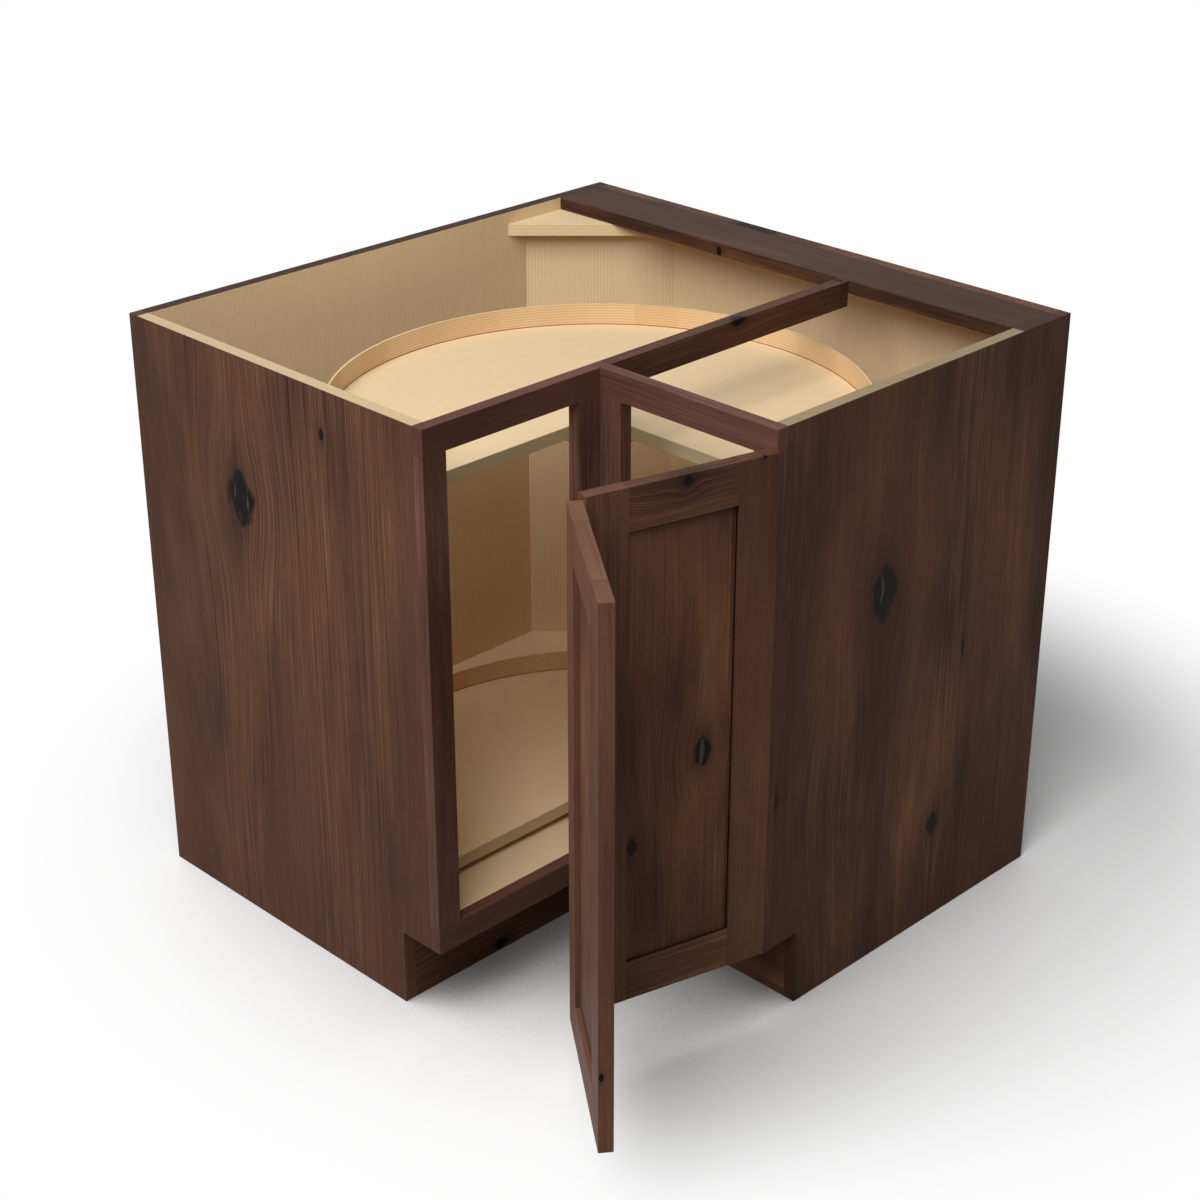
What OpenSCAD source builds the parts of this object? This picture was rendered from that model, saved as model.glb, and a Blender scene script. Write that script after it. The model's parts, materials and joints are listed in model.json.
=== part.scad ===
// Corner base cabinet with two pie-cut carousel trays and a bi-fold door.
// The origin is the back corner of the cabinet at the floor. The cabinet lies
// towards +X and -Y from there, and +Z is up. The door is drawn part open.

/* [Cabinet] */
// Depth of each end panel from the wall to the face of the frame
end_depth = 609.6; // [560:0.1:660]
// Width of each half of the front, from the corner post to the end panel's side
front_w = 304.8; // [285:0.1:340]
// Height from the floor to the top edge
cabinet_height = 876.3; // [800:1:930]
// Thickness of the end panels, backs, floor and toe boards
panel_t = 19.05; // [16:0.05:20]
// Height of the toe space
toe_height = 114.3; // [90:1:125]
// Depth of the toe space behind the face of the frame
toe_recess = 76.2; // [60:1:86]
// Thickness of the diagonal back
diagonal_t = 12.7; // [6:0.1:16]
// Length of the diagonal back's run along each wall
diagonal_leg = 165.1; // [120:1:190]
// Length of the corner block along each wall
block_leg = 203.2; // [195:1:240]
// Thickness of the corner block
block_t = 19.05; // [12:0.05:25]

/* [Face frame] */
// Thickness of the face frame
frame_t = 19.05; // [16:0.05:20]
// Face width of the stiles and rails of the frame
frame_w = 38.1; // [36:0.1:42]

/* [Top braces] */
// Width of the stretcher along the right wall
stretcher_w = 88.9; // [60:1:110]
// Thickness of the stretcher
stretcher_t = 19.05; // [12:0.05:25]
// Thickness of the center brace
brace_t = 19.05; // [12:0.05:19.05]
// Depth of the center brace below the top edge
brace_h = 38.1; // [25:0.1:60]

/* [Trays] */
// Distance of the pole's line behind the frame, from each half of the front
pole_behind_frame = 86.55; // [80:0.05:95]
// Room between the tray rims and the end panels
tray_clear = 14.65; // [13:0.05:40]
// Thickness of the tray boards
tray_t = 19.05; // [12:0.05:20]
// Height of the rim above the tray board
rim_height = 32; // [15:1:45]
// Thickness of the rim strip
rim_t = 3.2; // [2:0.1:4]
// Depth of the upper tray board's top below the top edge of the cabinet
upper_tray_drop = 124; // [115:0.5:400]
// Radius of the board that is left round the pole
tray_nose_r = 30; // [24:1:32]

/* [Pole] */
// Outside radius of the pole
pole_r = 11; // [9:0.5:12]
// Wall of the pole tube
pole_wall = 1.6; // [1:0.1:3]
// Length of pole above the top bracket's arm
pole_stub = 6; // [4:1:12]
// Height of the top bracket's arm below the top edge
bracket_drop = 75; // [70:1:78]
// Thickness of the top bracket's arm
bracket_arm_t = 5; // [3:0.5:8]
// Width of the top bracket's arm
bracket_arm_w = 20; // [12:1:24]
// Thickness of the bracket's angle plate
bracket_plate_t = 3; // [2:0.5:5]
// How far the bracket's boss and angle plate stand past the arm
bracket_lip = 3; // [1:0.5:4]
// Length of each wing of the angle plate
bracket_wing = 42; // [38:1:50]
// Height of the angle plate
bracket_plate_h = 32; // [26:1:36]
// Radius of the floor flange
floor_flange_r = 29; // [26:0.5:30]
// Thickness of the floor flange
floor_flange_t = 3; // [2:0.5:4]
// Height of the floor flange's socket
socket_h = 5; // [4:0.5:5]
// Wall of the floor flange's socket
socket_wall = 5; // [3:0.5:6]
// Thickness of the thrust washers
washer_t = 1; // [0.5:0.1:1]
// Height of the collar under the upper tray
collar_h = 14; // [10:1:20]
// Wall of the collar
collar_wall = 7; // [5:0.5:10]
// Radius of the collar's set screw
set_screw_r = 2; // [1.5:0.5:3]

/* [Tray hubs] */
// Radius of the hub flange under the tray board
hub_flange_r = 60; // [50:1:80]
// Thickness of the hub flange
hub_flange_t = 3; // [2:0.5:3]
// Wall of the hub sleeve
hub_wall = 3; // [2:0.5:5]
// Radius of the circle of hub screws
hub_screw_circle_r = 45; // [38:1:48]

/* [Door] */
// Thickness of the door leaves
door_t = 19.05; // [17:0.05:20]
// Face width of the door stiles and rails
door_rail_w = 57.15; // [40:0.05:70]
// Thickness of the flat door panels
door_panel_t = 5.2; // [4:0.1:8]
// Depth of the groove that holds a panel
groove_depth = 10; // [6:0.5:15]
// Play of a panel to each side in its groove
groove_play = 0.15; // [0.05:0.05:0.3]
// Reveal of the frame beside the door's outer edges
door_reveal = 6.35; // [6.2:0.05:12]
// Reveal of the frame below the door
door_low_reveal = 15.7; // [6:0.1:25]
// Reveal of the frame above the door
door_top_reveal = 22.3; // [6:0.1:28]
// Gap between the closed door's back and the frame
door_gap = 3.2; // [3.2:0.1:4]

/* [Door hinges] */
// Thickness of the hinge plates
hinge_plate_t = 1.5; // [1:0.1:1.5]
// Radius of the hinge knuckles
knuckle_r = 2.9; // [2.4:0.1:2.9]
// Radius of the hinge pins
hinge_pin_r = 1.5; // [1:0.1:1.6]
// Height of the heads of the hinge pins
pin_head_h = 1; // [0.5:0.1:2]
// How far the pin heads stand out past the pins
pin_head_lip = 0.9; // [0.5:0.1:1]
// Room between a knuckle of the hinges on the frame and the door's edge
main_knuckle_gap = 0.1; // [0.1:0.05:0.5]
// Room between a knuckle of the fold hinges and the door's edges
fold_knuckle_gap = 0.2; // [0.1:0.05:0.5]
// Margin from the edge of a fold plate to the back of the door
fold_plate_margin = 1; // [0.5:0.1:3]
// Length of the hinges on the frame
main_hinge_len = 64; // [50:1:90]
// Width of the plates of the hinges on the frame
main_plate_w = 26; // [20:1:28]
// Length of the fold hinges
fold_hinge_len = 50; // [40:1:80]
// Height of the outer hinges from the ends of the door
hinge_inset = 100; // [60:1:150]

/* [Screws] */
// Radius of the screw shanks
screw_r = 1.5; // [1:0.1:1.6]
// Radius of the screw heads
screw_head_r = 2.8; // [2.4:0.1:3]
// Depth of the countersunk screw heads
screw_head_h = 1.2; // [0.8:0.1:1.2]
// Length of the screws
screw_len = 14; // [8:1:16]

/* [Fits] */
// Radial clearance of turning and pushed-on round parts
running_fit = 0.06; // [0.02:0.01:0.1]
// Gap left at a seat, a groove or between hinge knuckles
seat_gap = 0.3; // [0.2:0.05:0.4]
// How far a hub's sleeve stands below its flange
hub_drop = 0.4; // [0.3:0.05:1]

/* [Pose] */
// Opening of the first door leaf from closed, in degrees
door_open = 75; // [5:1:95]
// Straightening of the fold from its closed right angle, in degrees
door_fold = 22.3; // [0:0.1:30]

/* [Hidden] */
$fn = 96;

walnut = [0.30, 0.19, 0.14];
maple = [0.87, 0.74, 0.55];
steel = [0.70, 0.71, 0.72];
cut = 1;

// carcass
cabinet_run = end_depth + front_w;
inner_run = cabinet_run - panel_t;
frame_back = end_depth - frame_t;
toe_face = end_depth - toe_recess;
toe_back = toe_face - panel_t;
floor_top = toe_height + panel_t;
opening_low = toe_height + frame_w;
opening_high = cabinet_height - frame_w;
opening_near = end_depth + frame_w;
opening_far = cabinet_run - frame_w;
stretcher_low = cabinet_height - stretcher_t;
block_low = stretcher_low - block_t;

// pole, bracket and trays
pole_offset = frame_back - pole_behind_frame;
tray_r = inner_run - pole_offset - rim_t - tray_clear;
pole_bore_r = pole_r + running_fit;
socket_r = pole_r + socket_wall;
sleeve_r = pole_bore_r + hub_wall;
collar_r = pole_r + collar_wall;
socket_top = floor_top + floor_flange_t + socket_h;
lower_board_low = socket_top + washer_t + seat_gap + hub_drop + hub_flange_t;
upper_board_low = cabinet_height - upper_tray_drop - tray_t;
upper_washer_low = upper_board_low - hub_flange_t - hub_drop - seat_gap - washer_t;
collar_low = upper_washer_low - collar_h;
bracket_low = cabinet_height - bracket_drop;
pole_top = bracket_low + bracket_arm_t + pole_stub;
hub_screw_angles = [60, 135, 210];
flange_screw_angles = [0, 90, 180, 270];
flange_screw_circle_r = (socket_r + floor_flange_r) / 2;
wing_screw_x = frame_back + (bracket_wing + frame_t) / 2;
wing_screw_z = [bracket_low - bracket_plate_h / 4, bracket_low - bracket_plate_h * 3 / 4];

// door, drawn closed and then turned about its two hinge lines
door_bottom = toe_height + door_low_reveal;
door_top = cabinet_height - door_top_reveal;
leaf_back = end_depth + door_gap;
leaf_front = leaf_back + door_t;
leaf_outer = cabinet_run - door_reveal;
pivot_off = knuckle_r + fold_knuckle_gap;
main_axis_x = leaf_outer + knuckle_r + main_knuckle_gap;
fold_axis = leaf_front + pivot_off;
leaf_inner = fold_axis + pivot_off;
groove_w = door_panel_t + 2 * groove_play;
door_mid_y = -(leaf_back + leaf_front) / 2;
main_hinge_z = [door_bottom + hinge_inset, door_top - hinge_inset];
fold_hinge_z = [door_bottom + hinge_inset, (door_bottom + door_top) / 2, door_top - hinge_inset];
pin_head_r = hinge_pin_r + pin_head_lip;
main_screw_x = leaf_outer - main_plate_w / 2;
main_screw_z = [-main_hinge_len / 3, 0, main_hinge_len / 3];
fold_screw_z = [-fold_hinge_len / 3, fold_hinge_len / 3];

// A box from its two opposite corners
module block(low, high) {
    translate(low) cube(high - low);
}

// A screw with its flat head at the origin, driven down; grow widens it to cut its hole
module screw(grow = 0) {
    translate([0, 0, -screw_head_h - grow])
        cylinder(r1 = screw_r + grow, r2 = screw_head_r + grow, h = screw_head_h + grow);
    if (grow > 0) cylinder(r = screw_head_r + grow, h = cut);
    translate([0, 0, -screw_len - grow]) cylinder(r = screw_r + grow, h = screw_len);
}

// Turns its children about a vertical line
module turn_about(x, y, angle) {
    translate([x, y, 0]) rotate([0, 0, angle]) translate([-x, -y, 0]) children();
}

// Swaps the two sides of the cabinet, across its diagonal
module other_side() {
    mirror([1, 1, 0]) children();
}

// Puts the first leaf, drawn closed, at its opening angle
module place_leaf_1() {
    turn_about(main_axis_x, -leaf_back, door_open) children();
}

// Puts the second leaf, drawn closed on the right, on the left and at its fold angle
module place_leaf_2() {
    place_leaf_1() turn_about(fold_axis, -fold_axis, -door_fold) other_side() children();
}

// ---- carcass ----

// End panel on the right, with its toe notch
module end_panel() {
    difference() {
        block([inner_run, -frame_back, 0], [cabinet_run, 0, cabinet_height]);
        block([inner_run - cut, -frame_back - cut, -cut], [cabinet_run + cut, -toe_face, toe_height]);
    }
}

module end_panel_right() {
    color(walnut) end_panel();
}

module end_panel_left() {
    color(walnut) other_side() end_panel();
}

module back_panel_left() {
    color(walnut) block([0, -inner_run, 0], [panel_t, 0, cabinet_height]);
}

module back_panel_right() {
    color(walnut) block([panel_t, -panel_t, 0], [inner_run, 0, cabinet_height]);
}

// Upright board across the back corner, mitred against both backs
module diagonal_back() {
    leg_behind = diagonal_leg - diagonal_t * sqrt(2);
    color(maple) translate([panel_t, -panel_t, floor_top])
        linear_extrude(block_low - floor_top)
            polygon([[0, -diagonal_leg], [diagonal_leg, 0], [leg_behind, 0], [0, -leg_behind]]);
}

// Three-cornered block under the stretcher
module corner_block() {
    color(maple) translate([panel_t, -panel_t, block_low])
        linear_extrude(block_t)
            polygon([[0, 0], [0, -block_leg], [block_leg, 0]]);
}

module top_stretcher() {
    color(walnut)
        block([panel_t, -panel_t - stretcher_w, stretcher_low], [inner_run, -panel_t, cabinet_height]);
}

module center_brace() {
    color(walnut)
        block([frame_back, -frame_back, cabinet_height - brace_h],
            [frame_back + brace_t, -panel_t - stretcher_w, cabinet_height]);
}

// Floor board with the front corner cut out, and the holes of the flange screws
module cabinet_floor() {
    color(maple) difference() {
        translate([0, 0, toe_height]) linear_extrude(panel_t)
            polygon([[panel_t, -panel_t], [inner_run, -panel_t], [inner_run, -frame_back],
                [frame_back, -frame_back], [frame_back, -inner_run], [panel_t, -inner_run]]);
        flange_screws(running_fit);
    }
}

module toe_board_left() {
    color(walnut) block([toe_back, -inner_run, 0], [toe_face, -toe_back, toe_height]);
}

module toe_board_right() {
    color(walnut) block([toe_face, -toe_face, 0], [inner_run, -toe_back, toe_height]);
}

// ---- face frame: rails run over the stiles, and the right frame runs through at the corner ----

// One member of the right frame, between two places along it and two heights
module right_member(near, far, low, high) {
    color(walnut) block([near, -end_depth, low], [far, -frame_back, high]);
}

// One member of the left frame
module left_member(near, far, low, high) {
    color(walnut) block([frame_back, -far, low], [end_depth, -near, high]);
}

module frame_right_top_rail() {
    right_member(frame_back, cabinet_run, opening_high, cabinet_height);
}

module frame_right_bottom_rail() {
    right_member(frame_back, cabinet_run, toe_height, opening_low);
}

module frame_right_outer_stile() {
    difference() {
        right_member(opening_far, cabinet_run, opening_low, opening_high);
        frame_hinge_screws(running_fit);
    }
}

module frame_right_inner_stile() {
    difference() {
        right_member(frame_back, opening_near, opening_low, opening_high);
        wing_screws(running_fit);
    }
}

module frame_left_top_rail() {
    left_member(end_depth, cabinet_run, opening_high, cabinet_height);
}

module frame_left_bottom_rail() {
    left_member(end_depth, cabinet_run, toe_height, opening_low);
}

module frame_left_outer_stile() {
    left_member(opening_far, cabinet_run, opening_low, opening_high);
}

module frame_left_inner_stile() {
    difference() {
        left_member(end_depth, opening_near, opening_low, opening_high);
        other_side() wing_screws(running_fit);
    }
}

// ---- pole and its fixings ----

// Moves its children to the pole's line
module at_pole(z) {
    translate([pole_offset, -pole_offset, z]) children();
}

// A ring on the pole's line
module ring(inside_r, outside_r, low, height) {
    at_pole(low) difference() {
        cylinder(r = outside_r, h = height);
        translate([0, 0, -cut]) cylinder(r = inside_r, h = height + 2 * cut);
    }
}

module pole() {
    color(steel) ring(pole_r - pole_wall, pole_r, floor_top, pole_top - floor_top);
}

module floor_flange() {
    color(steel) difference() {
        union() {
            ring(pole_bore_r, floor_flange_r, floor_top, floor_flange_t);
            ring(pole_bore_r, socket_r, floor_top, socket_top - floor_top);
        }
        flange_screws(running_fit);
    }
}

module flange_screws(grow) {
    for (angle = flange_screw_angles)
        at_pole(floor_top + floor_flange_t)
            rotate([0, 0, angle]) translate([flange_screw_circle_r, 0, 0]) screw(grow);
}

module floor_flange_screws() {
    color(steel) flange_screws(0);
}

// Arm from the pole's boss to an angle plate on the back of the corner post
module top_bracket() {
    plate_back = frame_back - bracket_plate_t;
    plate_end = frame_back + bracket_wing;
    wing_mid = frame_back - bracket_plate_t / 2;
    color(steel) difference() {
        union() {
            at_pole(bracket_low - bracket_lip) cylinder(r = socket_r, h = bracket_arm_t + 2 * bracket_lip);
            translate([0, 0, bracket_low]) linear_extrude(bracket_arm_t) difference() {
                translate([pole_offset, -pole_offset]) rotate(-45) translate([0, -bracket_arm_w / 2])
                    square([2 * (frame_back - pole_offset), bracket_arm_w]);
                translate([wing_mid, -wing_mid]) mirror([0, 1]) square(frame_back);
            }
            translate([0, 0, bracket_low - bracket_plate_h])
                linear_extrude(bracket_plate_h + bracket_arm_t + bracket_lip)
                    polygon([[plate_back, -plate_back], [plate_end, -plate_back], [plate_end, -frame_back],
                        [frame_back, -frame_back], [frame_back, -plate_end], [plate_back, -plate_end]]);
        }
        at_pole(bracket_low - bracket_lip - cut)
            cylinder(r = pole_bore_r, h = bracket_arm_t + 2 * bracket_lip + 2 * cut);
        wing_screws(running_fit);
        other_side() wing_screws(running_fit);
    }
}

// The two screws of the bracket's right wing
module wing_screws(grow) {
    for (z = wing_screw_z)
        translate([wing_screw_x, -frame_back + bracket_plate_t, z]) rotate([-90, 0, 0]) screw(grow);
}

module top_bracket_screws() {
    color(steel) {
        wing_screws(0);
        other_side() wing_screws(0);
    }
}

module collar() {
    color(steel) difference() {
        ring(pole_bore_r, collar_r, collar_low, collar_h);
        set_screw_shape(running_fit);
    }
}

// The collar's set screw, which points at the pole from the back
module set_screw_shape(grow) {
    at_pole(collar_low + collar_h / 2) rotate([0, 0, 135]) rotate([0, 90, 0])
        translate([0, 0, pole_r + seat_gap / 2]) cylinder(r = set_screw_r + grow, h = collar_wall - seat_gap);
}

module collar_set_screw() {
    color(steel) set_screw_shape(0);
}

module thrust_washers() {
    color("ivory") {
        ring(pole_bore_r, socket_r, socket_top, washer_t);
        ring(pole_bore_r, socket_r, upper_washer_low, washer_t);
    }
}

// ---- trays ----

// Three quarters of a disc, with a round nose left about the pole
module pie(radius, nose_r, low, height) {
    at_pole(low) union() {
        difference() {
            cylinder(r = radius, h = height);
            translate([0, -radius - cut, -cut]) cube([radius + cut, radius + cut, height + 2 * cut]);
        }
        cylinder(r = nose_r, h = height);
    }
}

module tray_board(low) {
    color(maple) difference() {
        pie(tray_r, tray_nose_r, low, tray_t);
        at_pole(low - cut) cylinder(r = sleeve_r + seat_gap, h = tray_t + 2 * cut);
        hub_screws(low, running_fit);
    }
}

// Bent strip round the board's edge, standing proud as a rim
module tray_rim(low) {
    height = tray_t + rim_height;
    reach = tray_r + rim_t + cut;
    color(maple) difference() {
        ring(tray_r, tray_r + rim_t, low, height);
        at_pole(low - cut) translate([0, -reach, 0]) cube([reach, reach, height + 2 * cut]);
    }
}

// Flange screwed under the board, with a sleeve that turns on the pole
module tray_hub(low) {
    flange_low = low - hub_flange_t;
    color(steel) difference() {
        union() {
            pie(hub_flange_r, tray_nose_r, flange_low, hub_flange_t);
            at_pole(flange_low - hub_drop) cylinder(r = sleeve_r, h = hub_drop + hub_flange_t + tray_t);
        }
        at_pole(flange_low - hub_drop - cut)
            cylinder(r = pole_bore_r, h = hub_drop + hub_flange_t + tray_t + 2 * cut);
        hub_screws(low, running_fit);
    }
}

module hub_screws(low, grow) {
    for (angle = hub_screw_angles)
        at_pole(low - hub_flange_t)
            rotate([0, 0, angle]) translate([hub_screw_circle_r, 0, 0]) rotate([180, 0, 0]) screw(grow);
}

module upper_tray_board() {
    tray_board(upper_board_low);
}

module upper_tray_rim() {
    tray_rim(upper_board_low);
}

module upper_tray_hub() {
    tray_hub(upper_board_low);
}

module upper_hub_screws() {
    color(steel) hub_screws(upper_board_low, 0);
}

module lower_tray_board() {
    tray_board(lower_board_low);
}

module lower_tray_rim() {
    tray_rim(lower_board_low);
}

module lower_tray_hub() {
    tray_hub(lower_board_low);
}

module lower_hub_screws() {
    color(steel) hub_screws(lower_board_low, 0);
}

// ---- door leaves, all drawn closed on the right ----

// The stile at the outer edge, grooved for the panel
module outer_stile() {
    difference() {
        block([leaf_outer - door_rail_w, -leaf_front, door_bottom], [leaf_outer, -leaf_back, door_top]);
        panel_groove();
    }
}

// The stile at the folding edge
module fold_stile() {
    difference() {
        block([leaf_inner, -leaf_front, door_bottom], [leaf_inner + door_rail_w, -leaf_back, door_top]);
        panel_groove();
        fold_screws(running_fit);
    }
}

// A rail between the stiles
module leaf_rail(low) {
    difference() {
        block([leaf_inner + door_rail_w, -leaf_front, low],
            [leaf_outer - door_rail_w, -leaf_back, low + door_rail_w]);
        panel_groove();
    }
}

// The room that the panel's edges take in the stiles and rails
module panel_groove() {
    side = door_rail_w - groove_depth;
    block([leaf_inner + side, door_mid_y - groove_w / 2, door_bottom + side],
        [leaf_outer - side, door_mid_y + groove_w / 2, door_top - side]);
}

module leaf_panel() {
    side = door_rail_w - groove_depth + seat_gap;
    block([leaf_inner + side, door_mid_y - door_panel_t / 2, door_bottom + side],
        [leaf_outer - side, door_mid_y + door_panel_t / 2, door_top - side]);
}

module leaf_1_hinge_stile() {
    color(walnut) place_leaf_1() difference() {
        outer_stile();
        door_hinge_screws(running_fit);
    }
}

module leaf_1_fold_stile() {
    color(walnut) place_leaf_1() fold_stile();
}

module leaf_1_top_rail() {
    color(walnut) place_leaf_1() leaf_rail(door_top - door_rail_w);
}

module leaf_1_bottom_rail() {
    color(walnut) place_leaf_1() leaf_rail(door_bottom);
}

module leaf_1_panel() {
    color(walnut) place_leaf_1() leaf_panel();
}

module leaf_2_free_stile() {
    color(walnut) place_leaf_2() outer_stile();
}

module leaf_2_fold_stile() {
    color(walnut) place_leaf_2() fold_stile();
}

module leaf_2_top_rail() {
    color(walnut) place_leaf_2() leaf_rail(door_top - door_rail_w);
}

module leaf_2_bottom_rail() {
    color(walnut) place_leaf_2() leaf_rail(door_bottom);
}

module leaf_2_panel() {
    color(walnut) place_leaf_2() leaf_panel();
}

// ---- hinges ----

// Where a hinge's three knuckles start and end: the two outer ones, or the middle one
function knuckles(length, outer) =
    outer ? [[-length / 2, -length / 6 - seat_gap / 2], [length / 6 + seat_gap / 2, length / 2]]
          : [[-length / 6 + seat_gap / 2, length / 6 - seat_gap / 2]];

// A hinge leaf at the origin: the pin's line is Z, the plate runs towards -X
// between two distances in Y, and stretches in z say which knuckles it has
module hinge_plate(length, width, near_y, far_y, spans) {
    edge = knuckle_r + seat_gap;
    difference() {
        union() {
            block([-width, near_y, -length / 2], [-edge, far_y, length / 2]);
            for (span = spans) {
                block([-edge - cut, near_y, span[0]], [0, min(far_y, knuckle_r), span[1]]);
                translate([0, 0, span[0]]) cylinder(r = knuckle_r, h = span[1] - span[0]);
            }
        }
        translate([0, 0, -length]) cylinder(r = hinge_pin_r + running_fit, h = 2 * length);
    }
}

// A pin with its two heads, for a hinge centered at the origin
module hinge_pin(length) {
    head_z = length / 2 + seat_gap;
    cylinder(r = hinge_pin_r, h = 2 * head_z, center = true);
    for (z = [-head_z - pin_head_h, head_z]) translate([0, 0, z]) cylinder(r = pin_head_r, h = pin_head_h);
}

// Moves its children to a hinge on the frame
module at_main_hinges() {
    for (z = main_hinge_z) translate([main_axis_x, -leaf_back, z]) children();
}

// Moves its children to the fold hinges, with the plate's face on the first leaf's edge
module at_fold_hinges() {
    for (z = fold_hinge_z) translate([fold_axis, -fold_axis, z]) rotate([0, 0, -90]) children();
}

module main_hinge_frame_plates() {
    color(steel) difference() {
        at_main_hinges()
            hinge_plate(main_hinge_len, main_plate_w, door_gap - hinge_plate_t, door_gap,
                knuckles(main_hinge_len, true));
        frame_hinge_screws(running_fit);
    }
}

module main_hinge_pins() {
    color(steel) at_main_hinges() hinge_pin(main_hinge_len);
}

// Screws through the frame plates into the outer stile of the frame
module frame_hinge_screws(grow) {
    for (z = main_hinge_z, dz = main_screw_z)
        translate([main_screw_x, -end_depth - hinge_plate_t, z + dz]) rotate([90, 0, 0]) screw(grow);
}

module main_hinge_frame_screws() {
    color(steel) frame_hinge_screws(0);
}

module main_hinge_door_plates() {
    color(steel) place_leaf_1() difference() {
        at_main_hinges()
            hinge_plate(main_hinge_len, main_plate_w, 0, hinge_plate_t, knuckles(main_hinge_len, false));
        door_hinge_screws(running_fit);
    }
}

// Screws through the door plates into the back of the hinge stile
module door_hinge_screws(grow) {
    for (z = main_hinge_z, dz = main_screw_z)
        translate([main_screw_x, -leaf_back + hinge_plate_t, z + dz]) rotate([-90, 0, 0]) screw(grow);
}

module main_hinge_door_screws() {
    color(steel) place_leaf_1() door_hinge_screws(0);
}

// A fold hinge's plate on the end of a leaf, with the outer or the middle knuckles
module fold_plates(outer) {
    difference() {
        at_fold_hinges()
            hinge_plate(fold_hinge_len, pivot_off + door_t - fold_plate_margin,
                pivot_off - hinge_plate_t, pivot_off,
                knuckles(fold_hinge_len, outer));
        fold_screws(running_fit);
    }
}

// Screws through a fold plate into the end of the fold stile
module fold_screws(grow) {
    for (z = fold_hinge_z, dz = fold_screw_z)
        translate([leaf_inner - hinge_plate_t, door_mid_y, z + dz]) rotate([0, -90, 0]) screw(grow);
}

module fold_hinge_plates_1() {
    color(steel) place_leaf_1() fold_plates(true);
}

module fold_hinge_pins() {
    color(steel) place_leaf_1() at_fold_hinges() hinge_pin(fold_hinge_len);
}

module fold_hinge_screws_1() {
    color(steel) place_leaf_1() fold_screws(0);
}

module fold_hinge_plates_2() {
    color(steel) place_leaf_2() fold_plates(false);
}

module fold_hinge_screws_2() {
    color(steel) place_leaf_2() fold_screws(0);
}

end_panel_left();
end_panel_right();
back_panel_left();
back_panel_right();
diagonal_back();
corner_block();
top_stretcher();
center_brace();
cabinet_floor();
toe_board_left();
toe_board_right();
frame_left_top_rail();
frame_left_bottom_rail();
frame_left_outer_stile();
frame_left_inner_stile();
frame_right_top_rail();
frame_right_bottom_rail();
frame_right_outer_stile();
frame_right_inner_stile();
pole();
floor_flange();
floor_flange_screws();
top_bracket();
top_bracket_screws();
collar();
collar_set_screw();
thrust_washers();
main_hinge_frame_plates();
main_hinge_pins();
main_hinge_frame_screws();
leaf_1_hinge_stile();
leaf_1_fold_stile();
leaf_1_top_rail();
leaf_1_bottom_rail();
leaf_1_panel();
main_hinge_door_plates();
main_hinge_door_screws();
fold_hinge_plates_1();
fold_hinge_pins();
fold_hinge_screws_1();
leaf_2_fold_stile();
leaf_2_free_stile();
leaf_2_top_rail();
leaf_2_bottom_rail();
leaf_2_panel();
fold_hinge_plates_2();
fold_hinge_screws_2();
upper_tray_board();
upper_tray_rim();
upper_tray_hub();
upper_hub_screws();
lower_tray_board();
lower_tray_rim();
lower_tray_hub();
lower_hub_screws();
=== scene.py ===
import json
import math

import bpy
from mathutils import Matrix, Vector


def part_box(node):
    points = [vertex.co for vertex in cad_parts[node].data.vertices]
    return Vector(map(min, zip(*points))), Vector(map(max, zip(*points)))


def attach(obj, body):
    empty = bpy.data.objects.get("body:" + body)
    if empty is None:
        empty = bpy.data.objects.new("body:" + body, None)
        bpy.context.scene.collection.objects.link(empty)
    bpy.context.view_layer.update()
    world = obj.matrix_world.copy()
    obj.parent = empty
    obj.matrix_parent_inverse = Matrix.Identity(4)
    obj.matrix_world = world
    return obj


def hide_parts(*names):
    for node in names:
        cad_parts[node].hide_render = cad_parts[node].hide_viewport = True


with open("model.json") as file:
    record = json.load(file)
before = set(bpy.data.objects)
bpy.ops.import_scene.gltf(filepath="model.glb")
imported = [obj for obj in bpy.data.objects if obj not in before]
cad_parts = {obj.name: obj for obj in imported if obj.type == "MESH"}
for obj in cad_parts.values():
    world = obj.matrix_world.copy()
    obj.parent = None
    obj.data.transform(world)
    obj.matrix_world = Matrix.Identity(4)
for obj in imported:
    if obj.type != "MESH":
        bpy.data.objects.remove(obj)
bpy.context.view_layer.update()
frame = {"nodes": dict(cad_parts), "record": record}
nodes = frame["nodes"]
bpy.ops.object.select_all(action="DESELECT")

# ---- Camera, floor and lamps ----
# A corner cabinet stands alone on a white studio floor. It is seen from above its front corner,
# lit by one broad lamp over the left of the front.

camera_data = bpy.data.cameras.new("camera")
camera_data.lens = 70.398
camera_data.sensor_width = 36
camera = bpy.data.objects.new("camera", camera_data)
camera.location = (2.62657, -2.62657, 1.93377)
camera.rotation_euler = (math.radians(64.004), 0, math.radians(45))
bpy.context.scene.collection.objects.link(camera)
bpy.context.scene.camera = camera
bpy.context.scene.view_settings.view_transform = "Standard"


def linear(red, green, blue):
    """A colour picked on a screen, 0 to 255 each, as the linear values that a shader takes."""
    parts = [c / 255 for c in (red, green, blue)]
    return tuple(p / 12.92 if p <= 0.04045 else ((p + 0.055) / 1.055) ** 2.4 for p in parts) + (1,)


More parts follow.
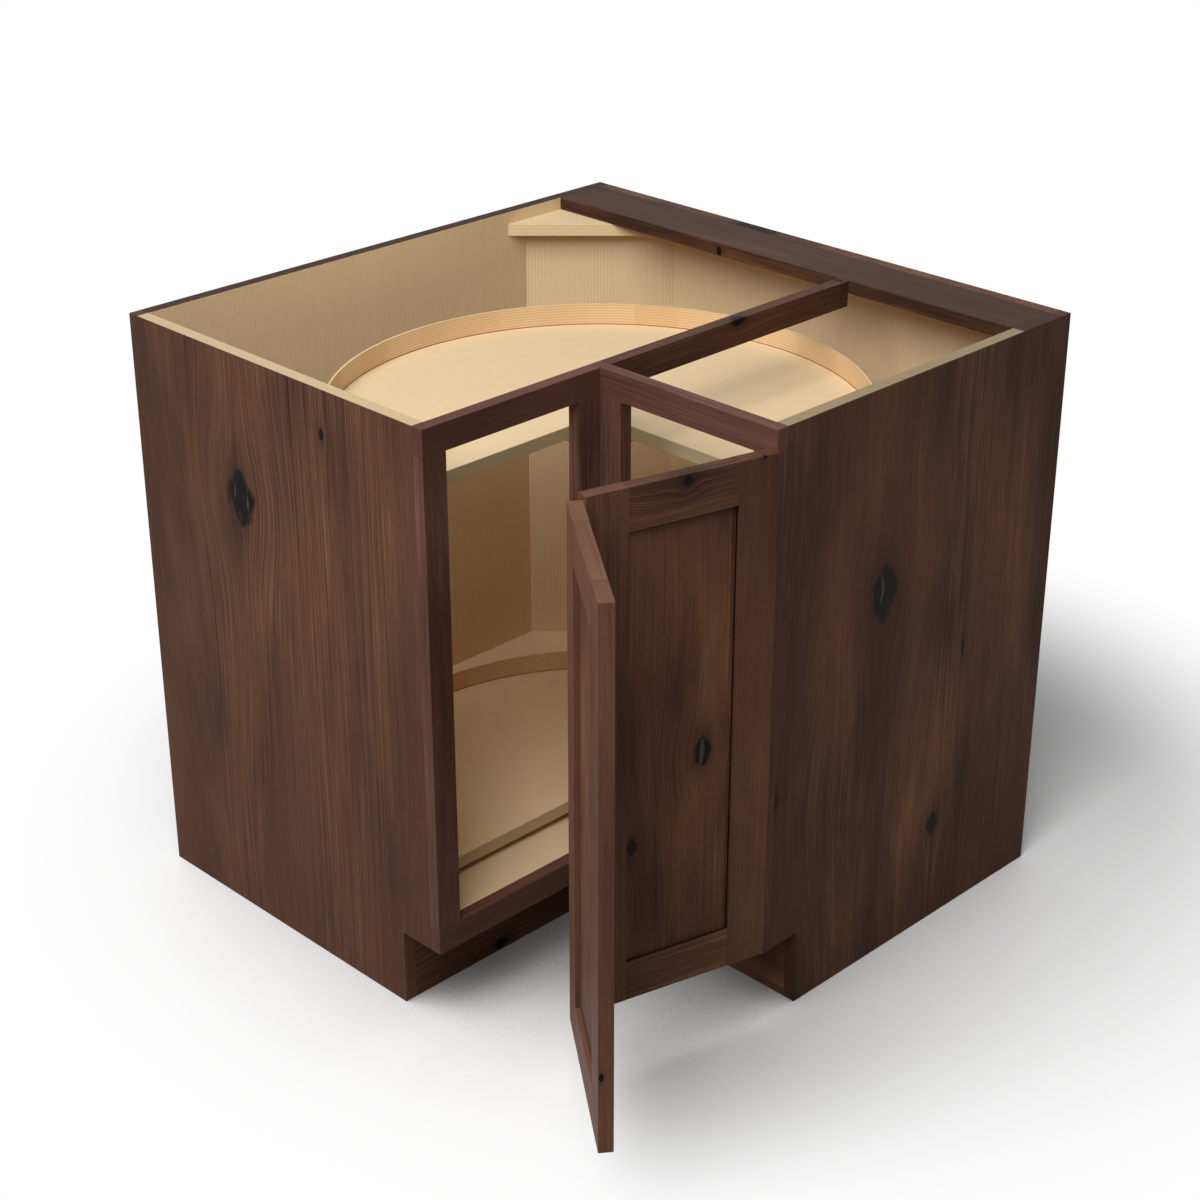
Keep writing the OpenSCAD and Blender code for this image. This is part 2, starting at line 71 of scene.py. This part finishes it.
class Shade:
    """A value in a material's nodes. Arithmetic on it adds Math nodes."""

    def __init__(self, tree, socket=None):
        self.tree = tree
        self.socket = socket

    def node(self, kind, settings, sockets, out=0):
        """Adds one node: its settings first, then what its sockets take, and gives one output."""
        node = self.tree.nodes.new(kind)
        for name, value in settings.items():
            if name == "stops":
                set_stops(node.color_ramp, value)
            else:
                setattr(node, name, value)
        for key, value in sockets.items():
            if isinstance(value, Shade):
                self.tree.links.new(value.socket, node.inputs[key])
            else:
                node.inputs[key].default_value = value
        return Shade(self.tree, node.outputs[out])

    def maths(self, operation, *values):
        return self.node("ShaderNodeMath", {"operation": operation}, dict(enumerate(values)))

    def __add__(self, other):
        return self.maths("ADD", self, other)

    def __radd__(self, other):
        return self.maths("ADD", other, self)

    def __sub__(self, other):
        return self.maths("SUBTRACT", self, other)

    def __rsub__(self, other):
        return self.maths("SUBTRACT", other, self)

    def __mul__(self, other):
        return self.maths("MULTIPLY", self, other)

    def __rmul__(self, other):
        return self.maths("MULTIPLY", other, self)

    def __truediv__(self, other):
        return self.maths("DIVIDE", self, other)

    def __gt__(self, other):
        return self.maths("GREATER_THAN", self, other)

    def __lt__(self, other):
        return self.maths("LESS_THAN", self, other)

    def size(self):
        return self.maths("ABSOLUTE", self)

    def most(self, other):
        return self.maths("MAXIMUM", self, other)

    def step(self, low, high):
        """Rises smoothly from 0 at low to 1 at high."""
        kind = {"interpolation_type": "SMOOTHSTEP"}
        return self.node("ShaderNodeMapRange", kind, {0: self, 1: low, 2: high, 3: 0.0, 4: 1.0})

    def along(self, direction):
        """How far this position lies along a direction."""
        return self.node("ShaderNodeVectorMath", {"operation": "DOT_PRODUCT"},
                         {0: self, 1: direction}, "Value")

    def grain(self, across, length, through, detail=3.0, roughness=0.5):
        """Noise from 0 to 1 at a place given by three values."""
        place = self.node("ShaderNodeCombineXYZ", {}, {0: across, 1: length, 2: through})
        sockets = {"Vector": place, "Scale": 1.0, "Detail": detail, "Roughness": roughness}
        return self.node("ShaderNodeTexNoise", {}, sockets)

    def blend(self, first, second):
        """First colour where this value is 0, second where it is 1."""
        return self.node("ShaderNodeMix", {"data_type": "RGBA"}, {0: self, 6: first, 7: second}, 2)


def set_stops(ramp, stops):
    """Gives a colour ramp its stops: pairs of a place and a colour."""
    while len(ramp.elements) > len(stops):
        ramp.elements.remove(ramp.elements[-1])
    while len(ramp.elements) < len(stops):
        ramp.elements.new(1)
    for element, (place, colour) in zip(ramp.elements, stops):
        element.position = place
        element.color = colour


def new_material(name):
    """An empty material: gives it, its Principled shader and the position on the piece."""
    material = bpy.data.materials.new(name)
    material.use_nodes = True
    tree = material.node_tree
    shader = tree.nodes["Principled BSDF"]
    return material, shader, Shade(tree).node("ShaderNodeTexCoord", {}, {}, "Object")


def connect(shade, shader, socket):
    shade.tree.links.new(shade.socket, shader.inputs[socket])


# The floor is white paper to the camera, with painted shade that makes it greyer close under the
# cabinet, and it fades to plain white all round. It is dull to every other ray, so that little light
# comes up off it.
FLOOR_SIZE = 40
FLOOR_DROP = 0.0005
PAPER = linear(253, 253, 253)
PAPER_IN_SHADE = linear(112, 112, 112)
DULL_FLOOR = linear(150, 146, 142)
CABINET_FOOT = (0.45, -0.2, 0)
FADE_START = 0.66
FADE_END = 1.15
SHADE_REACH = 0.7
BLACK = (0, 0, 0, 1)
WHITE = (1, 1, 1, 1)
bpy.ops.mesh.primitive_plane_add(size=FLOOR_SIZE, location=(0, 0, -FLOOR_DROP))
floor = bpy.context.object
floor.name = "floor"
floor_material, floor_shader, floor_place = new_material("floor")
floor_shader.inputs["Roughness"].default_value = 1
floor_shader.inputs["Specular IOR Level"].default_value = 0
FLOOR_GLOW = 0.045


def seen_ray(shade):
    """1 on the rays that show a backdrop: from the camera, off metal and through glass."""
    seen = shade.node("ShaderNodeLightPath", {}, {}, "Is Camera Ray")
    seen = seen.most(shade.node("ShaderNodeLightPath", {}, {}, "Is Glossy Ray"))
    return seen.most(shade.node("ShaderNodeLightPath", {}, {}, "Is Transmission Ray"))


floor_seen = seen_ray(floor_place)
from_middle = floor_place.node("ShaderNodeVectorMath", {"operation": "DISTANCE"},
                               {0: floor_place, 1: CABINET_FOOT}, "Value")
far = from_middle.step(FADE_START, FADE_END)
# Painted shade: the paper seen by the camera turns grey where the cabinet closes in over it.
open_air = floor_place.node("ShaderNodeAmbientOcclusion", {"samples": 8}, {"Distance": SHADE_REACH}, "AO")
paper = open_air.step(0.08, 0.70).blend(PAPER_IN_SHADE, PAPER)
shaded = floor_seen.blend(DULL_FLOOR, paper)
connect((far * floor_seen).blend(shaded, BLACK), floor_shader, "Base Color")
glow = floor_seen * (far * (1 - FLOOR_GLOW) + FLOOR_GLOW)
connect(glow.blend(BLACK, WHITE), floor_shader, "Emission Color")
floor_shader.inputs["Emission Strength"].default_value = 1
floor.data.materials.append(floor_material)

world = bpy.data.worlds.new("studio")
bpy.context.scene.world = world
world.use_nodes = True
sky = Shade(world.node_tree)
SKY_LEVEL = 0.17
backdrop = world.node_tree.nodes["Background"]
connect(seen_ray(sky).blend((SKY_LEVEL, SKY_LEVEL, SKY_LEVEL, 1), WHITE), backdrop, "Color")

LAMP_DISTANCE = 5.0
cabinet_middle = Vector((0.5, -0.5, 0.45))
lamp_side = Vector((0.22, -0.72, 1.0)).normalized()
lamp_data = bpy.data.lights.new("front_lamp", "AREA")
lamp_data.shape = "SQUARE"
lamp_data.size = 3.8
lamp_data.energy = 264
lamp = bpy.data.objects.new("front_lamp", lamp_data)
lamp.location = cabinet_middle + lamp_side * LAMP_DISTANCE
lamp.rotation_euler = lamp_side.to_track_quat("Z", "Y").to_euler()
bpy.context.scene.collection.objects.link(lamp)

# ---- End panels, backs and top members ----
# The case is of plywood boards, veneered with dark knotty walnut outside and clear maple inside,
# glued at their edges. The stretcher and brace tie its top, and the toe boards stand
# back under its front. Those four are of walnut.

UP = (0, 0, 1)
EAST = (1, 0, 0)
NORTH = (0, 1, 0)
KNOT_BLACK = linear(14, 10, 9)
KNOT_CRACK = linear(104, 98, 92)
KNOT_HALO = linear(44, 29, 23)
FLAME = linear(106, 66, 48)
BEND_REACH = 2.4    # a knot bends the grain over this many times its own size
BEND_FORCE = 0.7
CRACKED = 0.012     # a knot with a greater half width has a crack in it
SAWN_SWAY = 0.02
VENEER_SWAY = 0.012
LACQUER = 0.07
SATIN = 0.50
SATIN_SPREAD = 0.14
RELIEF_DEPTH = 0.00015
EDGE = 0.0005
SKIN = 0.0001       # how deep a face's own veneer is taken to be
PLY_PITCH = 0.0036
WALNUT = [(0.10, linear(45, 30, 24)), (0.34, linear(79, 53, 41)), (0.52, linear(100, 69, 52)),
          (0.70, linear(114, 80, 59)), (0.92, linear(150, 109, 78))]
LIVELY_WALNUT = [(0.18, linear(42, 28, 22)), (0.38, linear(76, 50, 38)), (0.52, linear(100, 68, 50)),
                 (0.66, linear(120, 82, 59)), (0.84, linear(152, 108, 77))]
MAPLE = linear(243, 218, 178)
MAPLE_SHADE = linear(216, 184, 138)
RIB = linear(196, 164, 118)
RIB_PITCH = 0.0052
PLY_LINE = linear(150, 126, 90)
# Black painted shade, for the gap beside a recessed door panel where shade falls.
PAINTED_GAP_SHADE = linear(24, 15, 11)
DARK_WALNUT = linear(58, 38, 28)


def dot(a, b):
    return sum(p * q for p, q in zip(a, b))


def cross(a, b):
    return (a[1] * b[2] - a[2] * b[1], a[2] * b[0] - a[0] * b[2], a[0] * b[1] - a[1] * b[0])


def stained(tones, factor):
    """Walnut's tones, each a little darker or lighter."""
    return [(place, tuple(c * factor for c in colour[:3]) + (1,)) for place, colour in tones]


def walnut_grain(place, length, across, seed, knots, tones, sway, hills):
    """Walnut's colour and relief. A knot is a place, a half width and a half length, and the grain
    runs round it. A hill has a height too, and pushes the grain aside in an arch."""
    through = cross(length, across)
    v = place.along(length)
    u = place.along(across)
    w = place.along(through)
    bent = u
    black = halo = None
    split = 0.0
    for spot, half_w, half_l in knots:
        du = u - dot(spot, across)
        dv = v - dot(spot, length)
        dw = w - dot(spot, through)
        near_w = du / (BEND_REACH * half_w)
        near_l = dv / (BEND_REACH * half_l)
        push = place.maths("EXPONENT", 0 - near_w * near_w - near_l * near_l)
        bent = bent - du * push * BEND_FORCE
        ragged = place.grain(u * 70, v * 45, seed, 3.0) - 0.5
        eye_l = dv / half_l
        eye_w = dw / (2.0 * half_w)
        eye = (du / half_w).size() + eye_l * eye_l + eye_w * eye_w + ragged * 1.1
        mark = 1 - eye.step(0.72, 1.12)
        stretched = du / (1.5 * half_w)
        tall = dv / (1.9 * half_l)
        shade = place.maths("EXPONENT", 0 - stretched * stretched - tall * tall - eye_w * eye_w)
        black = mark if black is None else black.most(mark)
        halo = shade if halo is None else halo.most(shade)
        if half_w > CRACKED:
            split = mark + split
    for spot, half_w, half_l, height in hills:
        near_w = (u - dot(spot, across)) / half_w
        near_l = (v - dot(spot, length)) / half_l
        bent = bent + place.maths("EXPONENT", 0 - near_w * near_w - near_l * near_l) * height
    bent = bent + (place.grain(u * 3.2 + seed, v * 0.9, w * 3, 2.0) - 0.5) * sway
    lively = place.grain(bent * 5 + seed * 1.9, v * 0.3, seed, 1.0).step(0.40, 0.60)
    cloud = place.grain(bent * 9 + seed * 3.1, v * 2.2, w * 9, 4.0, 0.55)
    streak = place.grain(bent * 130 + seed * 7.7, v * 0.6, w * 50, 3.0, 0.6)
    fibre = place.grain(bent * 640 + seed, v * 5, w * 300, 3.0, 0.6)
    lines = (streak - 0.5) * 0.38 + (fibre - 0.5) * 1.5
    tone = (cloud - 0.5) * 1.2 + lines * (lively * 0.65 + 0.35) + 0.5
    colour = place.node("ShaderNodeValToRGB", {"stops": tones}, {0: tone})
    dull = place.grain(u * 6 + seed * 2.3, v * 1.7, w * 6, 2.0).step(0.42, 0.62)
    colour = (dull * 0.42).blend(colour, tones[1][1])
    flame = place.grain(u * 5 + seed * 4.7, v * 2.6, w * 5, 3.0).step(0.46, 0.64)
    colour = (flame * 0.26).blend(colour, FLAME)
    threads = place.grain(bent * 560 + seed * 5, v * 2.5, w * 90, 1.0).step(0.62, 0.74)
    colour = (threads * lively * 0.4).blend(colour, tones[4][1])
    pores = place.grain(bent * 1300 + seed, v * 55, w * 1300, 1.0).step(0.60, 0.74)
    colour = (pores * 0.5).blend(colour, tones[0][1])
    if knots:
        colour = (halo * 0.72).blend(colour, KNOT_HALO)
        crack = place.grain(u * 75 + seed, v * 16, w, 2.0).step(0.58, 0.64)
        colour = black.blend(colour, (crack * split * 0.45).blend(KNOT_BLACK, KNOT_CRACK))
    return colour, streak * 0.5 + fibre * 0.4 - pores * 0.6


def finish_wood(material, shader, colour, relief):
    """Plugs wood's colour and relief into its shader, under a satin lacquer."""
    connect(colour, shader, "Base Color")
    shader.inputs["Specular IOR Level"].default_value = LACQUER
    connect(relief * SATIN_SPREAD + SATIN, shader, "Roughness")
    sockets = {"Height": relief, "Strength": 0.5, "Distance": RELIEF_DEPTH}
    connect(relief.node("ShaderNodeBump", {}, sockets, "Normal"), shader, "Normal")
    return material


def walnut(name, length, across, seed, knots=(), tones=WALNUT, hills=(), painted_shade=None):
    """Solid walnut with its grain along one direction, and black painted shade where the given mask says."""
    material, shader, place = new_material(name)
    colour, relief = walnut_grain(place, length, across, seed, knots, tones, SAWN_SWAY, hills)
    if painted_shade:
        colour = painted_shade(place).blend(colour, PAINTED_GAP_SHADE)
    return finish_wood(material, shader, colour, relief)


def maple_colour(place, ribs, seed):
    """Clear maple's colour and relief, with fine lines that follow each other along ribs."""
    x, y, z = (place.along(direction) for direction in (EAST, NORTH, UP))
    fleck = place.grain(x * 60 + seed, y * 60, z * 60, 4.0, 0.6)
    cloud = place.grain(x * 3, y * 3 + seed, z * 3, 2.0)
    colour = (fleck * 0.25 + cloud * 0.2).blend(MAPLE, MAPLE_SHADE)
    if ribs is None:
        return colour, fleck
    run = place.along(ribs)
    line = place.maths("SINE", run * (2 * math.pi / RIB_PITCH)) * 0.5 + 0.5
    line = line * (place.grain(run * 120 + seed, seed, seed, 2.0) + 0.3)
    return (line * 0.31).blend(colour, RIB), fleck - line * 0.6


def maple(name, ribs, seed):
    """Maple ply, with the fine lines of its veneer where ribs gives their direction."""
    material, shader, place = new_material(name)
    return finish_wood(material, shader, *maple_colour(place, ribs, seed))


def veneered(name, length, across, seed, inside, knots=(), hills=(), tones=WALNUT, bare=None, ply=None,
             dark=None):
    """A veneered board: walnut, but maple where inside says, bare ply where bare says and darker
    where dark says."""
    material, shader, place = new_material(name)
    colour, relief = walnut_grain(place, length, across, seed, knots, tones, VENEER_SWAY, hills)
    light, light_relief = maple_colour(place, across, seed)
    mask = inside(place)
    colour = mask.blend(colour, light)
    if bare:
        through = place.along(cross(length, across))
        layers = place.maths("SINE", through * (2 * math.pi / PLY_PITCH)) * 0.5 + 0.5
        colour = bare(place).blend(colour, (layers * 0.4).blend(ply, PLY_LINE))
    if dark:
        colour = dark(place).blend(colour, DARK_WALNUT)
    return finish_wood(material, shader, colour, relief * (1 - mask) + light_relief * mask)


def dress(node, material):
    """Gives a CAD node its material."""
    slots = nodes[node].data.materials
    slots.clear()
    slots.append(material)


def eased(node, material):
    """Makes a copy of a board with its sharp edges sanded off, which stands for the board."""
    piece = bpy.data.objects.new(node + "_eased", nodes[node].data.copy())
    bpy.context.scene.collection.objects.link(piece)
    piece.data.materials.clear()
    piece.data.materials.append(material)
    bpy.ops.object.select_all(action="DESELECT")
    piece.select_set(True)
    bpy.context.view_layer.objects.active = piece
    bpy.ops.object.mode_set(mode="EDIT")
    bpy.ops.mesh.select_all(action="SELECT")
    bpy.ops.mesh.customdata_custom_splitnormals_clear()
    bpy.ops.mesh.remove_doubles(threshold=0.00001)
    bpy.ops.mesh.dissolve_limited(angle_limit=math.radians(0.5))
    bpy.ops.object.mode_set(mode="OBJECT")
    sanding = piece.modifiers.new("sanding", "BEVEL")
    sanding.width = EDGE
    sanding.segments = 2
    sanding.limit_method = "ANGLE"
    sanding.angle_limit = math.radians(40)
    bpy.ops.object.modifier_apply(modifier=sanding.name)
    bpy.ops.object.select_all(action="DESELECT")
    body = next(b for b, members in frame["record"]["behaviour"]["bodies"].items() if node in members)
    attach(piece, body)
    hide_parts(node)


left_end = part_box("end_panel_left")
right_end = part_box("end_panel_right")
left_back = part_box("back_panel_left")
right_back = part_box("back_panel_right")
case_top = left_end[1].z
stretcher_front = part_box("top_stretcher")[0].y


def top_edge(place):
    """1 on the top edge of the case."""
    return place.along(UP) > case_top - SKIN


eased("end_panel_left", veneered(
    "walnut_left_end", UP, EAST, 1.3, lambda p: p.along(NORTH) > left_end[1].y - SKIN,
    [((0.2295, left_end[0].y, 0.6699), 0.030, 0.045), ((0.4122, left_end[0].y, 0.8135), 0.005, 0.010)],
    [((0.09, 0, 0.80), 0.07, 0.30, 0.030), ((0.20, 0, 0.16), 0.07, 0.26, 0.026)],
    bare=lambda p: top_edge(p) * (p.along(EAST) > left_back[1].x), ply=linear(218, 194, 156)))
eased("end_panel_right", veneered(
    "walnut_right_end", UP, NORTH, 4.9, lambda p: p.along(EAST) < right_end[0].x + SKIN,
    [((right_end[1].x, -0.3814, 0.5795), 0.029, 0.046),
     ((right_end[1].x, -0.2383, 0.1630), 0.013, 0.021),
     ((right_end[1].x, -0.5904, 0.3437), 0.007, 0.013),
     ((right_end[1].x, -0.1946, 0.4361), 0.003, 0.022)],
    [((0, -0.55, 0.29), 0.09, 0.24, 0.042)], stained(LIVELY_WALNUT, 0.90),
    bare=lambda p: top_edge(p) * (p.along(NORTH) < stretcher_front), ply=linear(156, 140, 110),
    dark=lambda p: top_edge(p) * (p.along(NORTH) > stretcher_front) * (p.along(NORTH) < right_back[0].y)))
eased("back_panel_left", veneered(
    "walnut_left_back", UP, NORTH, 7.2, lambda p: p.along(EAST) > left_back[1].x - SKIN, dark=top_edge))
eased("back_panel_right", veneered(
    "walnut_right_back", UP, EAST, 9.6, lambda p: p.along(NORTH) < right_back[0].y + SKIN,
    [((0.345, -0.007, 0.8763), 0.045, 0.012)]))

eased("top_stretcher", walnut(
    "walnut_stretcher", EAST, NORTH, 2.4,
    [((0.3597, -0.108, 0.8644), 0.004, 0.005)], stained(WALNUT, 0.50)))
eased("center_brace", walnut(
    "walnut_brace", NORTH, UP, 3.8,
    [((0.6096, -0.3424, 0.8735), 0.008, 0.016), ((0.5985, -0.1176, 0.8763), 0.004, 0.006)],
    stained(WALNUT, 0.80)))
eased("toe_board_left", walnut(
    "walnut_toe_left", NORTH, UP, 5.5,
    [((0.5334, -0.7349, 0.012), 0.010, 0.014)], stained(WALNUT, 0.8)))
eased("toe_board_right", walnut(
    "walnut_toe_right", EAST, UP, 6.1, tones=stained(WALNUT, 0.9)))

# ---- Inside boards ----
# The diagonal back closes the rear corner, the corner block sits on it under the stretcher, and
# the floor carries the pole. All three are of clear maple ply.

diagonal_run = (math.sqrt(0.5), math.sqrt(0.5), 0)
eased("diagonal_back", maple("maple_diagonal", diagonal_run, 1.0))
eased("corner_block", maple("maple_block", UP, 2.0))
eased("cabinet_floor", maple("maple_floor", None, 3.0))

# ---- Face frame ----
# Eight members of solid walnut, glued up flat and fixed on the front edges of the case. The two
# inner stiles meet in the corner post.

FRAME_WALNUT = [(0.10, linear(62, 42, 35)), (0.34, linear(85, 57, 47)), (0.52, linear(99, 67, 55)),
                (0.70, linear(113, 80, 68)), (0.92, linear(134, 98, 83))]
frame_seed = 11.0
for side, run in (("left", NORTH), ("right", EAST)):
    members = [("top_rail", run, UP), ("bottom_rail", run, UP),
               ("outer_stile", UP, run), ("inner_stile", UP, run)]
    for member, length, across in members:
        node = f"frame_{side}_{member}"
        frame_seed += 1.7
        eased(node, walnut(
            f"walnut_{node}", length, across, frame_seed, tones=FRAME_WALNUT))

# ---- Door leaves ----
# Each leaf is a frame of solid walnut round a flat veneered panel that floats in its groove. The
# first hangs on the frame's outer stile and the second on the first. Black painted shade darkens
# the gap beside the first panel at its hinge side and foot.

DOOR_REST = math.radians(75)
FOLD_REST = math.radians(22.3)
leaf_run = {1: DOOR_REST + math.pi, 2: DOOR_REST + math.pi * 1.5 - FOLD_REST}
leaf_knots = {
    "leaf_1_panel": [((0.9034, -0.7149, 0.4656), 0.016, 0.023),
                     ((0.8767, -0.8147, 0.3545), 0.010, 0.015)],
    "leaf_1_top_rail": [((0.8948, -0.7469, 0.8455), 0.009, 0.008)],
    "leaf_1_hinge_stile": [((0.9230, -0.6418, 0.8536), 0.0025, 0.003)],
}
leaf_hills = {
    "leaf_1_panel": [((0.8800, -0.8030, 0.26), 0.04, 0.15, 0.022),
                     ((0.8940, -0.7500, 0.66), 0.04, 0.20, 0.018)],
    "leaf_1_top_rail": [((0.8850, -0.7850, 0.822), 0.016, 0.05, 0.010)],
}
PLAIN_WALNUT = [(0.10, linear(62, 41, 32)), (0.34, linear(86, 58, 45)), (0.52, linear(99, 68, 52)),
                (0.70, linear(109, 76, 58)), (0.92, linear(128, 92, 68))]
LEAF_STAIN = {"leaf_1_frame": 1.0, "leaf_1_panel": 1.06, "leaf_2_frame": 1.14, "leaf_2_panel": 1.0}
PAINTED_SHADE_DEPTH = 0.0035
MARK_HEIGHT = 0.240
MARK_INSET = 0.004


def reach(node, direction):
    """The lowest and highest value of a CAD node along a direction."""
    values = [dot(vertex.co, direction) for vertex in nodes[node].data.vertices]
    return min(values), max(values)


leaf_seed = 31.0
for leaf, angle in leaf_run.items():
    run = (math.cos(angle), math.sin(angle), 0)
    front = cross(UP, run)
    outer_stile = "hinge_stile" if leaf == 1 else "free_stile"
    members = [("top_rail", run, UP), ("bottom_rail", run, UP), ("panel", UP, run),
               ("fold_stile", UP, run), (outer_stile, UP, run)]
    for member, length, across in members:
        node = f"leaf_{leaf}_{member}"
        leaf_seed += 2.3
        painted_shade = None
        if member == "free_stile":
            outer_edge = reach(node, run)[1]
            mark_side = reach(node, front)[0] + MARK_INSET
            mark = tuple(a * outer_edge + b * mark_side + c * MARK_HEIGHT for a, b, c in zip(run, front, UP))
            leaf_knots[node] = [(mark, 0.0016, 0.0060)]
        # Painted shade: black on the hinge stile's inner face, in the gap beside the recessed first panel.
        if member == "hinge_stile":
            edge = reach(node, run)[1] - SKIN
            deep = reach("leaf_1_panel", front)[1] + PAINTED_SHADE_DEPTH
            painted_shade = lambda p, run=run, front=front: (p.along(run) > edge) * (p.along(front) < deep)
        # Painted shade: black on the bottom rail's top, in the gap under the recessed first panel.
        if node == "leaf_1_bottom_rail":
            rail_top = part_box(node)[1].z - SKIN
            deep_below = reach("leaf_1_panel", front)[1] + PAINTED_SHADE_DEPTH
            painted_shade = lambda p, front=front: (p.along(UP) > rail_top) * (p.along(front) < deep_below)
        if member == "panel":
            slot, tones = "walnut_door_panel", stained(LIVELY_WALNUT, LEAF_STAIN[f"leaf_{leaf}_panel"])
        else:
            tones = WALNUT if leaf == 1 else PLAIN_WALNUT
            slot, tones = "walnut_door_frame", stained(tones, LEAF_STAIN[f"leaf_{leaf}_frame"])
        eased(node, walnut(f"walnut_{node}", length, across, leaf_seed, leaf_knots.get(node, ()),
                                 tones, leaf_hills.get(node, ()), painted_shade))

# ---- Trays ----
# Each is three quarters of a round maple ply board, with a thin strip bent round its edge and
# glued there. Its straight edges show the bare ply.

pole_low, pole_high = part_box("pole")
pole_x = (pole_low.x + pole_high.x) / 2
pole_y = (pole_low.y + pole_high.y) / 2
RIM_PITCH = 0.0042
PAINTED_FACETS = 34
GLUE = 0.0014
GLUE_BROWN = linear(166, 106, 66)
TRAY_PLY = linear(216, 194, 154)
TRAY_PLY_LINE = linear(156, 134, 98)
RIM_SHADE = linear(206, 162, 108)


def pole_radius(place):
    """How far a place is from the pole's axis, and its two parts."""
    dx = place.along(EAST) - pole_x
    dy = place.along(NORTH) - pole_y
    return place.maths("SQRT", dx * dx + dy * dy), dx, dy


def tray_board(name, node, seed):
    """Maple ply with its layers on the straight edges, and a glue line at the rim's foot."""
    material, shader, place = new_material(name)
    low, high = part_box(node)
    colour, relief = maple_colour(place, None, seed)
    height = place.along(UP)
    on_top = height > high.z - SKIN
    layers = place.maths("SINE", (height - low.z) * (2 * math.pi / PLY_PITCH)) * 0.5 + 0.5
    ply = (layers * 0.55).blend(TRAY_PLY, TRAY_PLY_LINE)
    colour = on_top.blend(ply, colour)
    rim_foot = high.x - pole_x
    foot = pole_radius(place)[0].step(rim_foot - GLUE, rim_foot - GLUE / 2) * on_top
    return finish_wood(material, shader, (foot * 0.8).blend(colour, GLUE_BROWN), relief)


def tray_rim(name, node, seed):
    """A bent strip of thin ply: fine lines along it, painted shade that stands for slight flats, and glue at
    its foot.
    """
    material, shader, place = new_material(name)
    board_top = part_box(node)[1].z
    colour, relief = maple_colour(place, None, seed)
    height = place.along(UP)
    line = place.maths("SINE", height * (2 * math.pi / RIM_PITCH)) * 0.5 + 0.5
    colour = (line * 0.6).blend(colour, RIM_SHADE)
    # Painted shade: each facet round the rim is tinted lighter or darker, as flats would catch the light.
    dx, dy = pole_radius(place)[1:]
    turn = place.maths("ARCTAN2", dy, dx) * (PAINTED_FACETS / (2 * math.pi))
    flat = place.maths("FLOOR", turn)
    shade = place.grain(flat * 7.31 + seed, seed, seed, 0.0).step(0.3, 0.7)
    colour = (shade * 0.45).blend(colour, RIM_SHADE)
    glue = (height > board_top) * (height < board_top + GLUE)
    return finish_wood(material, shader, (glue * 0.85).blend(colour, GLUE_BROWN), relief - line * 0.5)


for tray, seed in (("upper", 1.0), ("lower", 5.0)):
    dress(f"{tray}_tray_board", tray_board(f"maple_{tray}_board", f"{tray}_tray_board", seed))
    dress(f"{tray}_tray_rim", tray_rim(f"maple_{tray}_rim", f"{tray}_tray_board", seed + 2))

# ---- Pole, hubs, brackets, hinges and screws ----
# The pole stands in a floor flange and its head is tied to the corner post by a bracket. Each
# tray turns on it by a hub, over a nylon washer. All the rest is zinc-plated steel.


def steel(name, tint, roughness):
    """Plated steel with faint uneven brightness."""
    material, shader, place = new_material(name)
    cloud = place.grain(place.along(EAST) * 60, place.along(NORTH) * 60, place.along(UP) * 60, 3.0)
    connect(cloud.blend(tint, linear(150, 150, 150)), shader, "Base Color")
    shader.inputs["Metallic"].default_value = 1
    connect(cloud * 0.2 + roughness, shader, "Roughness")
    return material


zinc = steel("zinc", linear(205, 206, 208), 0.25)
for node in ("pole", "floor_flange", "floor_flange_screws", "top_bracket", "top_bracket_screws",
             "collar", "collar_set_screw", "upper_tray_hub", "upper_hub_screws", "lower_tray_hub",
             "lower_hub_screws", "main_hinge_frame_plates", "main_hinge_frame_screws", "main_hinge_pins",
             "main_hinge_door_plates", "main_hinge_door_screws", "fold_hinge_plates_1",
             "fold_hinge_screws_1", "fold_hinge_pins", "fold_hinge_plates_2", "fold_hinge_screws_2"):
    dress(node, zinc)
nylon, nylon_shader, nylon_place = new_material("nylon")
speck = nylon_place.grain(nylon_place.along(EAST) * 200, nylon_place.along(NORTH) * 200,
                          nylon_place.along(UP) * 200, 2.0)
connect(speck.blend(linear(232, 230, 218), linear(214, 211, 198)), nylon_shader, "Base Color")
nylon_shader.inputs["Roughness"].default_value = 0.5
dress("thrust_washers", nylon)
